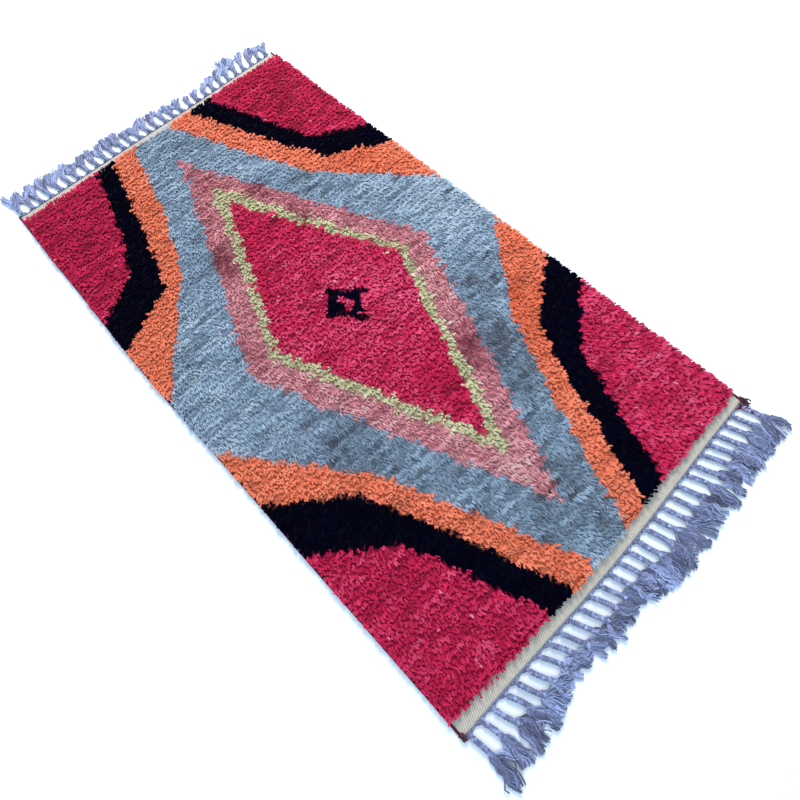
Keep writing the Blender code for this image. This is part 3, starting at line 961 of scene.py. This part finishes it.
def pile_pieces():
    """All strands of the pile, in one object for each yarn and part of the rug."""
    rng = np.random.default_rng(PILE_SEED)
    knots = knot_shapes(rng)
    bundles = {}
    for name in YARNS:
        strands = strands_of(knots, name, rng)
        roots = strands.path[:, 0]
        tips = strands.path[:, -1]
        seen = (roots[:, :2] + 2.0 * tips[:, :2]) / 3.0
        dark = np.array([
            name == "crimson" and (in_motif(tip[0], tip[1]) or in_motif(middle[0], middle[1]))
            for tip, middle in zip(tips, seen)
        ])
        parts = np.where(dark, "pile_navy", pile_part(name, roots[:, 0], roots[:, 1]))
        for part in np.unique(parts):
            chosen = parts == part
            final = part.split("_")[1]
            tints = yarn_colours(final, strands, chosen)
            bundles.setdefault(part, []).append((strands.path[chosen], strands.girth[chosen], tints))

    made = []
    for part, bundle in bundles.items():
        path, girth, tints = [np.concatenate(values) for values in zip(*bundle)]
        lean_line = path[:, -1] - path[:, 0]
        reference = unit(np.stack([lean_line[:, 1], -lean_line[:, 0], np.zeros(len(path))], -1))
        piece = tubes(part, path, girth, tints, STRAND_SIDES, STRAND_SOFTNESS, reference)
        made.append(dress(piece, "wool_" + part.split("_")[1], "pile", "pile"))
    return made


def grid_faces(index):
    return np.stack([index[:-1, :-1], index[:-1, 1:], index[1:, 1:], index[1:, :-1]], -1).reshape(-1, 4)


def rim_of(index):
    """The points round a grid, starting along its near side."""
    return np.concatenate([index[0, :-1], index[:-1, -1], index[-1, :0:-1], index[:0:-1, 0]])


def flat_uv(points, faces):
    """Two maps for flat cloth: its upper side beside its lower side, and one at the yarn's scale."""
    corner = points[faces]
    facing_up = corner[:, :, 2].mean(axis=1) > WEAVE_THICKNESS / 2
    across = (corner[:, :, 0] + MAP_HALF_WIDTH) * MAP_SHARE + np.where(facing_up, 0.0, 0.5)[:, None]
    along = (corner[:, :, 1] + MAP_HALF_LENGTH) / (2.0 * MAP_HALF_LENGTH)
    scaled = corner[:, :, :2] * YARN_MAP_SCALE
    return np.stack([across, along], -1).reshape(-1, 2), scaled.reshape(-1, 2)


def pile_bed():
    """The dense wool between the strands: one lumpy closed piece, flat underneath."""
    rows = np.linspace(0, 1, BED_ROWS + 1)
    columns = np.linspace(0, 1, BED_COLUMNS + 1)
    along, across = np.meshgrid(rows, columns, indexing="ij")
    x, y = rug_place(across, along, BED_INSET)
    parting, lump = [waves.reshape(x.shape) for waves in pile_waves(x.ravel(), y.ravel())]
    side = np.minimum(x - side_x(y, LEFT), side_x(y, RIGHT) - x)
    end = np.minimum(y - end_y(x, "near_pile_y"), end_y(x, "far_pile_y") - y)
    inside = share_of(np.minimum(side, end) / BED_RIM_WIDTH)
    full = BED_Z + PARTING_DEPTH * BED_PARTING * parting + LUMP_DEPTH * BED_LUMP * lump
    top = BED_RIM_Z + (full - BED_RIM_Z) * inside
    shift = PILE_REACH * TOP_SHARE * 0.5
    names = [yarn_with_motif(a, b) for a, b in zip(x.ravel(), y.ravel() - shift)]
    tone = np.clip(BED_TONE * lump, -1.0, 1.0).ravel()
    colours = np.array([toned(YARNS[name], each) for name, each in zip(names, tone)])
    # Painted shade: the bed is darker than its yarn down among the strands, and takes the pile's painted
    # light and shade
    colours *= (BED_SHADE * dimmed(parting, lump)).reshape(-1, 1)

    index = np.arange(x.size).reshape(x.shape)
    rim = rim_of(index)
    low = x.size + np.arange(len(rim))
    floor_z = WEAVE_THICKNESS + CLEARANCE
    top_points = np.stack([x, y, top], -1).reshape(-1, 3)
    low_points = top_points[rim] * (1.0, 1.0, 0.0) + (0.0, 0.0, floor_z)
    centre = np.array([[0.0, 0.0, floor_z]])
    points = np.concatenate([top_points, low_points, centre])
    colours = np.concatenate([colours, colours[rim], colours[:1]])
    walls = np.stack([np.roll(rim, -1), rim, low, np.roll(low, -1)], -1)
    quads = np.concatenate([grid_faces(index), walls])
    floor = np.stack([np.roll(low, -1), low, np.full(len(low), len(points) - 1)], -1)
    maps = [np.concatenate(pair) for pair in zip(flat_uv(points, quads), flat_uv(points, floor))]
    made = new_mesh_object("pile_bed", points, quads, floor, colours, maps)
    return dress(made, "pile_bed_wool", "pile", "pile")


# A line across the weave, given by a column of the table of ends and a distance from it
EndLine = namedtuple("EndLine", "column inset")
NEAR_EDGE = EndLine("near_weave_y", 0.0)
NEAR_JOIN = EndLine("near_pile_y", BAND_UNDER_PILE)
FAR_JOIN = EndLine("far_pile_y", -BAND_UNDER_PILE)
FAR_EDGE = EndLine("far_weave_y", 0.0)


def weave_place(across, share, near, far):
    """Places on the ground weave, at shares of its width and of the way between two lines across it."""
    x = np.zeros_like(across)
    y = x
    for _ in range(3):
        near_y = end_y(x, near.column) + near.inset
        y = near_y + (end_y(x, far.column) + far.inset - near_y) * share
        left = weave_side_x(y, LEFT)
        x = left + (weave_side_x(y, RIGHT) - left) * across
    return x, y


def slab(near, far, columns, rows, relief):
    """Points, faces and colours of one closed stretch of the weave, with relief above and below."""
    shares = np.linspace(0, 1, rows + 1)
    places = np.linspace(0, 1, columns + 1)
    share, across = np.meshgrid(shares, places, indexing="ij")
    x, y = weave_place(across, share, near, far)
    top, bottom, top_colour, bottom_colour = relief(x, y)
    points = np.concatenate([
        np.stack([x, y, top], -1).reshape(-1, 3),
        np.stack([x, y, bottom], -1).reshape(-1, 3),
    ])
    colours = np.concatenate([top_colour.reshape(-1, 3), bottom_colour.reshape(-1, 3)])
    index = np.arange(x.size).reshape(x.shape)
    faces = grid_faces(index)
    rim = rim_of(index)
    after = np.roll(rim, -1)
    walls = np.stack([after, rim, rim + index.size, after + index.size], -1)
    return points, np.concatenate([faces, faces[:, ::-1] + index.size, walls]), colours


def ribs(x, y):
    """The bare band: ribs that run along the rug, each crossed by slanting picks of weft, with painted
    shade in the hollows.
    """
    wave = np.cos(2 * math.pi * (x - RIB_SLANT * y) / RIB_PITCH)
    picks = np.sin(2 * math.pi * (y / PICK_PITCH + x / (2.0 * RIB_PITCH)))
    raised = 0.5 + 0.5 * wave
    top = WEAVE_THICKNESS + RIB_HEIGHT * raised + PICK_HEIGHT * picks
    bottom = PICK_HEIGHT * (1.0 - raised)
    # Painted light on the crests of ribs and picks, painted shade in the hollows between them
    painted_light_share = share_of(RIB_LIGHT[0] + RIB_LIGHT[1] * raised + PICK_LIGHT * picks)[..., None]
    colour = UNDYED_SHADE + (UNDYED - UNDYED_SHADE) * painted_light_share
    return top, bottom, colour, colour


def knotted_back(x, y):
    """The knotted part: painted shade between the tufts above, and rows of coloured knots below with
    painted shade between them.
    """
    row = np.cos(2 * math.pi * y * KNOT_ROWS / (2.0 * BAND_END_Y))
    names = [yarn_with_motif(a, b) for a, b in zip(x.ravel(), y.ravel())]
    wool_colour = yarn_values(names, "middle").reshape(x.shape + (3,))
    share = share_of(0.5 + BACK_CONTRAST * row)[..., None]
    # The undyed weft between the knots' rows is painted in its shade, and the knots are dimmed: painted
    # shade
    under = UNDYED_SHADE + (wool_colour * BACK_LIGHT - UNDYED_SHADE) * share
    top = np.full_like(x, WEAVE_THICKNESS - COVERED_DROP)
    bottom = BACK_RELIEF * (0.5 - 0.5 * row)
    return top, bottom, wool_colour * COVERED_LIGHT, under


def ground_weave():
    """The whole ground weave as one piece: a bare band at each end and the knotted part between them."""
    columns = int(FLAT_SIZE[0] / RIB_PITCH * RIB_SAMPLES)
    stretches = (
        slab(NEAR_EDGE, NEAR_JOIN, columns, BAND_ROWS, ribs),
        slab(NEAR_JOIN, FAR_JOIN, BACK_COLUMNS, 2 * KNOT_ROWS, knotted_back),
        slab(FAR_JOIN, FAR_EDGE, columns, BAND_ROWS, ribs),
    )
    points, quads, colours = zip(*stretches)
    starts = np.cumsum([0] + [len(each) for each in points[:-1]])
    quads = np.concatenate([each + start for each, start in zip(quads, starts)])
    points = np.concatenate(points)
    no_triangles = np.empty((0, 3), int)
    maps = flat_uv(points, quads)
    made = new_mesh_object("ground_weave_cloth", points, quads, no_triangles, np.concatenate(colours), maps)
    return dress(made, "undyed_wool", "weave", "ground_weave")


def selvedge_ends(side):
    """Where a selvedge starts and stops along the rug, a little past the weave's ends."""
    near = float(end_y(side * BAND_SIDE_X, "near_weave_y")) - SELVEDGE_TAIL
    far = float(end_y(side * BAND_SIDE_X, "far_weave_y")) + SELVEDGE_TAIL
    return near, far


def selvedge(side):
    """Wine-coloured yarn wrapped round the edge cords: a tube with slanting ridges."""
    y = np.linspace(*selvedge_ends(side), SELVEDGE_RINGS + 1)
    wobble = noise_at(y, np.zeros_like(y), WOBBLES[side])
    x = side_x(y, side) - side * (SELVEDGE_RADIUS * SELVEDGE_INSET) + SELVEDGE_SWAY * wobble
    z = np.full_like(y, SELVEDGE_RADIUS * SELVEDGE_LIFT)
    wrap = np.sin(2 * math.pi * y / WRAP_PITCH)
    radii = SELVEDGE_RADIUS * (WRAP_SWELL[0] + WRAP_SWELL[1] * wrap + WRAP_SWELL[2] * wobble)
    # Painted light on each wrap's ridge and painted shade between the wraps, with a slow change of tone
    # along the cord
    tone = share_of(WRAP_SHADE_AND_TONE[0] + WRAP_SHADE_AND_TONE[1] * wrap + WRAP_SHADE_AND_TONE[2] * wobble)[:, None]
    colours = WINE_DARK + (WINE - WINE_DARK) * tone
    path = np.stack([x, y, z], -1)[None]
    name = f"selvedge_{SIDE_NAMES[side]}"
    piece = tubes(f"{name}_wraps", path, radii[None, :-1], colours[None], SELVEDGE_SIDES)
    return dress(piece, "wine_wool", "selvedge", name)


def selvedge_tail(side):
    """The bunch of cut wine-coloured yarn at a selvedge's near end."""
    rng = np.random.default_rng(TAIL_SEED + (side == RIGHT))
    count = TAIL_STRANDS[side]
    each = (count, 1)
    near = selvedge_ends(side)[0]
    t = np.linspace(0.0, 1.0, TAIL_RINGS + 1)
    start_y = near + rng.uniform(*TAIL_START, each)
    start_x = side_x(near, side) - side * rng.uniform(*TAIL_ASIDE, each)
    heading = rng.normal(0.0, TAIL_TURN[0], each) + rng.normal(0.0, TAIL_TURN[1], each) * t
    step = TAIL_LENGTH[side] * rng.uniform(*TAIL_SPAN, each) / TAIL_RINGS
    x = start_x + np.cumsum(step * np.sin(heading), axis=1)
    y = start_y - np.cumsum(step * np.cos(heading), axis=1)
    z = TAIL_Z + rng.uniform(*TAIL_RISE, each) * np.sin(math.pi * (TAIL_ARC[0] + TAIL_ARC[1] * t))
    girth = rng.uniform(*TAIL_GIRTH, each) * np.linspace(*TAIL_TAPER, TAIL_RINGS)
    tone = rng.uniform(0.0, 1.0, (count, 1, 1)) + np.zeros((1, TAIL_RINGS + 1, 1))
    colours = WINE_DARK + (WINE - WINE_DARK) * tone
    name = f"selvedge_{SIDE_NAMES[side]}"
    piece = tubes(f"{name}_tail", np.stack([x, y, z], -1), girth, colours, STRAND_SIDES)
    return dress(piece, "wine_wool", "selvedge", name)


Cords = namedtuple("Cords", "away x root lean length fray sweep draws")


def cord_table(end):
    """Root, lean, length, fray and sweep of each fringe cord, with the draws that make it uneven."""
    away = NEAR if end == "near" else FAR
    stations, leans, cord_lengths, lock_lengths, sweeps = zip(*FRINGES[end])
    rng = np.random.default_rng(FRINGE_SEED + (end == "far"))
    draws = rng.uniform(-1.0, 1.0, (CORD_COUNT, CORD_DRAWS))
    left = weave_side_x(away * WEAVE_HALF_LENGTH, LEFT) + FRINGE_MARGINS[0]
    right = weave_side_x(away * WEAVE_HALF_LENGTH, RIGHT) - FRINGE_MARGINS[1]
    x = left + (right - left) * np.arange(CORD_COUNT) / (CORD_COUNT - 1)
    lean = eased(x, stations, leans) + LEAN_SPREAD * draws[:, 0]
    length = eased(x, stations, cord_lengths) * (1.0 + CORD_SPREAD * draws[:, 1])
    root = end_y(x, end + "_weave_y") + away * (CLEARANCE + HEADER_OVERLAP)
    columns = (x, root, lean, length, eased(x, stations, lock_lengths), eased(x, stations, sweeps))
    return Cords(away, *[column[:, None] for column in columns], draws)


def fringe_cords(end, cords):
    """Two plies twisted round each other for each cord, spread apart at the root."""
    rng = np.random.default_rng(PLY_SEED + (end == "far"))
    share = np.linspace(0.0, CORD_END, CORD_RINGS + 1)[None, :]
    sway = CORD_SWAY * np.sin(math.pi * share) * cords.draws[:, 2:3]
    middle_x = cords.x + cords.lean * share + sway
    middle_y = cords.root + cords.away * cords.length * share
    turns = 2 * math.pi * share * cords.length / PLY_PITCH
    flare = nearness(share, FLARE_SHARE) ** FLARE_POWER
    plies = []
    for ply in (0, 1):
        angle = turns + ply * math.pi
        offset = PLY_TURN_RADIUS * np.cos(angle) + (1 - 2 * ply) * ROOT_FLARE * flare
        z = (PLY_Z + PLY_TURN_RADIUS * PLY_FLATNESS * np.sin(angle)) * (1.0 - FLARE_DROP * flare)
        path = np.stack([middle_x + offset, middle_y, z], -1)
        swell = 1.0 + PLY_SWELL * rng.normal(0.0, 1.0, (CORD_COUNT, 1))
        girth = PLY_RADIUS * swell * (1.0 - FLARE_THINNING * flare[:, :-1])
        # Painted light where a ply rides on top and painted shade where it runs beneath, over the yarn's
        # own speckled tone
        tone = PLY_LIGHT_AND_TONE[0] * np.sin(angle) + rng.normal(PLY_LIGHT_AND_TONE[1], SPECKLE, angle.shape)
        plies.append((path, girth, tone))
    path, girth, tone = [np.concatenate(values) for values in zip(*plies)]
    colours = toned(MAUVE, tone)
    if end == "near":
        last = np.arange(len(path)) % CORD_COUNT == CORD_COUNT - 1
        blend = (rng.uniform(0.0, 1.0, tone.shape) < WINE_SHARE - share) & last[:, None]
        colours[blend] = WINE
    piece = tubes(f"fringe_{end}_cords", path, girth, colours, PLY_SIDES, FRINGE_SOFTNESS)
    return dress(piece, "fringe_wool", "fringe", f"fringe_{end}")


def lock_headings(end, cords, t, rng):
    """Which way each strand of each lock heads, at shares of its way, as an angle from straight out."""
    style = FRAY_STYLES[end]
    spread = (np.arange(FRAY_LOCKS) - (FRAY_LOCKS - 1) / 2).reshape(1, FRAY_LOCKS, 1, 1)
    first = np.arctan2(cords.lean, cords.length).reshape(PER_CORD) + style.fan * spread
    first = first + rng.normal(0.0, LOCK_TURN, PER_LOCK)
    sway = FRAY_SWAY * np.sin(SWAY_STEP * np.arange(CORD_COUNT) + rng.uniform(*PHASES)).reshape(PER_CORD)
    bend = cords.sweep.reshape(PER_CORD) + sway
    bend = bend + rng.normal(0.0, style.bend, PER_LOCK) + rng.normal(0.0, STRAND_BEND, PER_STRAND)
    turn = 2 * math.pi * (rng.uniform(*LOCK_WAVES, PER_LOCK) * t + rng.uniform(0.0, 1.0, PER_LOCK))
    size = rng.uniform(*LOCK_WAVE_SIZE, PER_LOCK) + rng.normal(0.0, STRAND_WAVE, PER_STRAND)
    wave = style.wave * size * np.sin(turn)
    return first + bend * t ** BEND_POWER + wave + rng.normal(0.0, STRAND_TURN, PER_STRAND)


def fringe_fray(end, cords):
    """The frayed end of each cord: a few locks of wavy strands that fan out, bend and curl."""
    style = FRAY_STYLES[end]
    rng = np.random.default_rng(FRAY_SEED + (end == "far"))
    t = np.append(np.linspace(0.0, FRAY_BLUNT_END, FRAY_RINGS), 1.0)
    heading = lock_headings(end, cords, t, rng)
    reach = (cords.fray + (1.0 - style.start) * cords.length).reshape(PER_CORD) * style.longer
    reach = reach * (1.0 - style.uneven * rng.uniform(0.0, 1.0, PER_CORD))
    reach = reach * rng.uniform(*LOCK_REACH, PER_LOCK) * rng.uniform(*STRAND_REACH, PER_STRAND)
    step = reach * np.diff(t, prepend=0.0)
    width = (style.width + FRAY_RADIUS * np.sin(math.pi * t)) * rng.uniform(*STRAND_PLACE, PER_STRAND)
    start_x = (cords.x + cords.lean * style.start).reshape(PER_CORD)
    start_y = (cords.root + cords.away * cords.length * style.start).reshape(PER_CORD)
    x = start_x + np.cumsum(step * np.sin(heading), axis=-1) + width * np.cos(heading)
    y = start_y + cords.away * (np.cumsum(step * np.cos(heading), axis=-1) - width * np.sin(heading))
    level = rng.uniform(*LOCK_LEVEL, PER_LOCK) + rng.uniform(*STRAND_LEVEL, PER_STRAND)
    ripple = FRAY_RIPPLE * np.sin(RIPPLE_ANGLE * t + rng.uniform(*PHASES, PER_STRAND)) * t
    z = np.maximum(PLY_Z * (1.0 - t) + level * t + ripple, FRAY_LOWEST * FRAY_RADIUS)
    path = np.stack([x, y, z], -1).reshape(-1, FRAY_RINGS + 1, 3)
    taper = np.linspace(*FRAY_TAPER, FRAY_RINGS)
    girth = FRAY_RADIUS * taper * rng.uniform(*FRAY_GIRTH, (len(path), 1))
    tone = rng.normal(style.tone, FRAY_TONES[0], PER_LOCK) + rng.normal(0.0, FRAY_TONES[1], PER_STRAND)
    tone = tone + rng.normal(0.0, FRAY_TONES[2], PER_STRAND[:3] + (FRAY_RINGS + 1,))
    colours = toned(MAUVE, tone.reshape(-1, FRAY_RINGS + 1))
    piece = tubes(f"fringe_{end}_fray", path, girth, colours, STRAND_SIDES, FRINGE_SOFTNESS)
    return dress(piece, "fringe_wool", "fringe", f"fringe_{end}")


def fringe_header(end, cords):
    """Two plies twisted along the weave's end, which hold the cords' roots."""
    left = float(weave_side_x(cords.away * WEAVE_HALF_LENGTH, LEFT))
    right = float(weave_side_x(cords.away * WEAVE_HALF_LENGTH, RIGHT)) - HEADER_MARGIN
    x = np.linspace(left, right, HEADER_RINGS + 1)
    middle_y = end_y(x, end + "_weave_y") + cords.away * HEADER_OFFSET
    angle = 2 * math.pi * x / HEADER_PITCH + np.array([[0.0], [math.pi]])
    y = middle_y + HEADER_RADIUS * np.cos(angle)
    z = HEADER_RADIUS * (HEADER_LIFT + np.sin(angle))
    path = np.stack([np.tile(x, (2, 1)), y, z], -1)
    girth = np.full((2, HEADER_RINGS), HEADER_RADIUS)
    # Painted light where a ply rides on top and painted shade where it runs beneath
    colours = toned(MAUVE, HEADER_PAINTED_LIGHT * np.sin(angle))
    piece = tubes(f"fringe_{end}_header", path, girth, colours, HEADER_SIDES)
    return dress(piece, "fringe_wool", "fringe", f"fringe_{end}")


# The photograph's viewing angle: an eye 1.3 m above the floor, at the near left corner
CAMERA_PLACE = Vector((-0.3956, -0.6871, 1.2886))
CAMERA_AIM = Vector((0.0089, -0.2127, 0.0))
CAMERA_ROLL = math.radians(-4.199)
CAMERA_LENS = 25.65
CAMERA_SHIFT_Y = -0.0625


def camera():
    data = bpy.data.cameras.new("camera")
    data.sensor_width = 36.0
    data.lens = CAMERA_LENS
    data.shift_y = CAMERA_SHIFT_Y
    data.clip_start = 0.01
    obj = bpy.data.objects.new("camera", data)
    look = (CAMERA_AIM - CAMERA_PLACE).to_track_quat("-Z", "Y").to_matrix().to_4x4()
    obj.matrix_world = Matrix.Translation(CAMERA_PLACE) @ look @ Matrix.Rotation(CAMERA_ROLL, 4, "Z")
    bpy.context.scene.collection.objects.link(obj)
    bpy.context.scene.camera = obj


def area_light(name, place, size, power, colour):
    """A round soft light that is turned towards the middle of the rug."""
    data = bpy.data.lights.new(name, "AREA")
    data.shape = "DISK"
    data.size = size
    data.energy = power
    data.color = colour
    obj = bpy.data.objects.new(name, data)
    obj.location = place
    obj.rotation_euler = (-Vector(place)).to_track_quat("-Z", "Y").to_euler()
    bpy.context.scene.collection.objects.link(obj)


# The studio
FLOOR_SIZE = 30.0
FLOOR_Z = -0.0004
FLOOR_COLOUR = (0.79, 0.88, 0.97, 1.0)
SKY_COLOUR = (0.68, 0.84, 1.0, 1.0)
SKY_STRENGTH = 0.95
LightRow = namedtuple("LightRow", "name place size power colour")
LIGHTS = (
    LightRow("key", (1.5, 1.3, 2.6), 1.6, 118.0, (1.0, 0.83, 0.73)),
    LightRow("fill", (-1.8, -1.4, 2.8), 2.2, 25.0, (1.0, 1.0, 1.0)),
)


def studio():
    """A plain pale floor under soft light that comes mostly from above and the right."""
    bpy.ops.mesh.primitive_plane_add(size=FLOOR_SIZE, location=(0.0, 0.0, FLOOR_Z))
    floor = bpy.context.active_object
    floor.name = "floor"
    paint = bpy.data.materials.new("pale_floor")
    paint.use_nodes = True
    shader = paint.node_tree.nodes["Principled BSDF"]
    shader.inputs["Base Color"].default_value = FLOOR_COLOUR
    shader.inputs["Roughness"].default_value = 0.9
    floor.data.materials.append(paint)

    world = bpy.data.worlds.new("studio")
    world.use_nodes = True
    background = world.node_tree.nodes["Background"]
    background.inputs["Color"].default_value = SKY_COLOUR
    background.inputs["Strength"].default_value = SKY_STRENGTH
    bpy.context.scene.world = world
    bpy.context.scene.view_settings.view_transform = "Standard"
    for row in LIGHTS:
        area_light(*row)


camera()
studio()
pile = pile_pieces()
pile.append(pile_bed())
weave = ground_weave()
selvedges = [selvedge(side) for side in (LEFT, RIGHT)]
selvedges += [selvedge_tail(side) for side in (LEFT, RIGHT)]
for end in ("near", "far"):
    table = cord_table(end)
    fringe_header(end, table)
    fringe_cords(end, table)
    fringe_fray(end, table)
